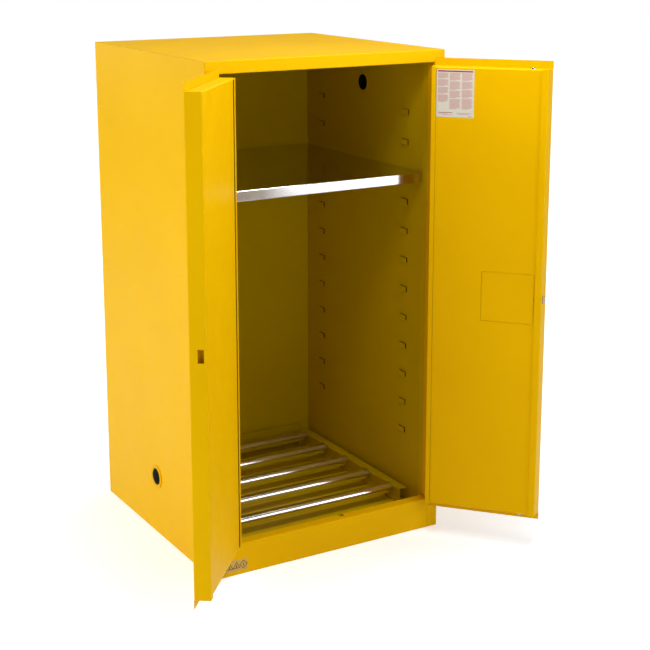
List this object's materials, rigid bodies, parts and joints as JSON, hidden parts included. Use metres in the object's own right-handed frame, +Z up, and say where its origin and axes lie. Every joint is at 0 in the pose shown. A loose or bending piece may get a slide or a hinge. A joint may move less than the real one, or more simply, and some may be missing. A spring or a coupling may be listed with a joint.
{
  "type": "flammable storage cabinet",
  "caption": "Double-walled steel safety cabinet with hinged double doors, a three-point latch, an adjustable shelf, wall vents and a roller bed for an upright drum.",
  "frame": {"origin": "centre of the case footprint, on the underside of the bottom panel", "axes": "+Z up, +X to the right as seen from the front, and the doors face -Y"},
  "size_m": [1.2836, 1.1887, 1.651],
  "materials": {
    "case_paint": "smooth semi-gloss safety-yellow powder coat",
    "liner_paint": "smooth semi-gloss safety-yellow powder coat",
    "door_paint": "smooth semi-gloss safety-yellow powder coat",
    "hinge_paint": "powder coat over steel, a little worn at the knuckles",
    "galvanised": "galvanised sheet with a faint spangle",
    "clip_zinc": "zinc plated",
    "roller_steel": "bright zinc-plated tube, fine turned lines",
    "rod_steel": "bright drawn steel",
    "chrome": "polished chrome plate",
    "screen": "dark woven wire"
  },
  "bodies": {
    "cabinet": {"left_side_panel": "case_paint", "right_side_panel": "case_paint", "back_panel": "case_paint", "top_panel": "case_paint", "bottom_panel": "case_paint", "sill_panel": "case_paint", "left_liner": "liner_paint", "right_liner": "liner_paint", "back_liner": "liner_paint", "ceiling_liner": "liner_paint", "sump_floor": "liner_paint", "left_floor_riser": "galvanised", "right_floor_riser": "galvanised", "left_vent_socket": "case_paint", "right_vent_socket": "case_paint", "left_flame_arrester": "screen", "right_flame_arrester": "screen", "left_front_shelf_clip": "clip_zinc", "right_front_shelf_clip": "clip_zinc", "left_rear_shelf_clip": "clip_zinc", "right_rear_shelf_clip": "clip_zinc", "left_roller_rail": "liner_paint", "right_roller_rail": "liner_paint", "drum_back_stop": "liner_paint", "left_hinge_frame_leaf": "hinge_paint", "right_hinge_frame_leaf": "hinge_paint", "left_hinge_pin": "clip_zinc", "right_hinge_pin": "clip_zinc", "header_strike": "clip_zinc", "sill_strike": "clip_zinc"},
    "shelf": {"shelf": "galvanised"},
    "left_door": {"left_door_skin": "door_paint", "left_door_inner_panel": "door_paint", "left_hinge_door_leaf": "hinge_paint", "strike_cup": "door_paint"},
    "right_door": {"right_door_skin": "door_paint", "right_door_inner_panel": "door_paint", "latch_access_cover": "door_paint", "right_hinge_door_leaf": "hinge_paint", "handle_escutcheon": "chrome", "upper_rod_guide": "clip_zinc", "lower_rod_guide": "clip_zinc"},
    "handle": {"latch_handle": "chrome", "latch_cam": "clip_zinc"},
    "lock": {"lock_cylinder": "chrome"},
    "upper_rod": {"upper_latch_rod": "rod_steel"},
    "lower_rod": {"lower_latch_rod": "rod_steel"},
    "centre_bolt": {"centre_latch_bolt": "rod_steel"},
    "roller_1": {"roller_1": "roller_steel"},
    "roller_2": {"roller_2": "roller_steel"},
    "roller_3": {"roller_3": "roller_steel"},
    "roller_4": {"roller_4": "roller_steel"},
    "roller_5": {"roller_5": "roller_steel"}
  },
  "joints": [
    {"name": "left_door_hinge", "type": "hinge", "parent": "cabinet", "child": "left_door", "pos_m": [-0.3888, -0.4354, 0.857], "axis": [0, 0, -1], "range_deg": [-131, 44]},
    {"name": "right_door_hinge", "type": "hinge", "parent": "cabinet", "child": "right_door", "pos_m": [0.3888, -0.4354, 0.857], "axis": [0, 0, 1], "range_deg": [-131, 44]},
    {"name": "handle_turn", "type": "hinge", "parent": "right_door", "child": "handle", "pos_m": [0.61553, -0.67397, 0.857], "axis": [-0.7547, -0.6561, 0], "range_deg": [0, 90]},
    {"name": "upper_rod_slide", "type": "slide", "parent": "right_door", "child": "upper_rod", "axis": [0, 0, 1], "range_m": [0, 0.014]},
    {"name": "lower_rod_slide", "type": "slide", "parent": "right_door", "child": "lower_rod", "axis": [0, 0, -1], "range_m": [0, 0.014]},
    {"name": "centre_bolt_slide", "type": "slide", "parent": "right_door", "child": "centre_bolt", "axis": [0.6561, -0.7547, 0], "range_m": [0, 0.014]},
    {"name": "lock_turn", "type": "hinge", "parent": "right_door", "child": "lock", "pos_m": [0.60798, -0.68053, 0.811], "axis": [-0.7547, -0.6561, 0], "range_deg": [0, 90]},
    {"name": "shelf_lift", "type": "slide", "parent": "cabinet", "child": "shelf", "axis": [0, 0, 1], "range_m": [0, 0.102]},
    {"name": "roller_1_spin", "type": "hinge", "parent": "cabinet", "child": "roller_1", "pos_m": [0, -0.267, 0.1], "axis": [1, 0, 0], "continuous": true},
    {"name": "roller_2_spin", "type": "hinge", "parent": "cabinet", "child": "roller_2", "pos_m": [0, -0.1155, 0.1], "axis": [1, 0, 0], "continuous": true},
    {"name": "roller_3_spin", "type": "hinge", "parent": "cabinet", "child": "roller_3", "pos_m": [0, 0.036, 0.1], "axis": [1, 0, 0], "continuous": true},
    {"name": "roller_4_spin", "type": "hinge", "parent": "cabinet", "child": "roller_4", "pos_m": [0, 0.1875, 0.1], "axis": [1, 0, 0], "continuous": true},
    {"name": "roller_5_spin", "type": "hinge", "parent": "cabinet", "child": "roller_5", "pos_m": [0, 0.339, 0.1], "axis": [1, 0, 0], "continuous": true}
  ],
  "couplings": [
    {"joint": "upper_rod_slide", "follows": "handle_turn", "m_per_rad": 0.0089127},
    {"joint": "lower_rod_slide", "follows": "handle_turn", "m_per_rad": 0.0089127},
    {"joint": "centre_bolt_slide", "follows": "handle_turn", "m_per_rad": 0.0089127}
  ]
}
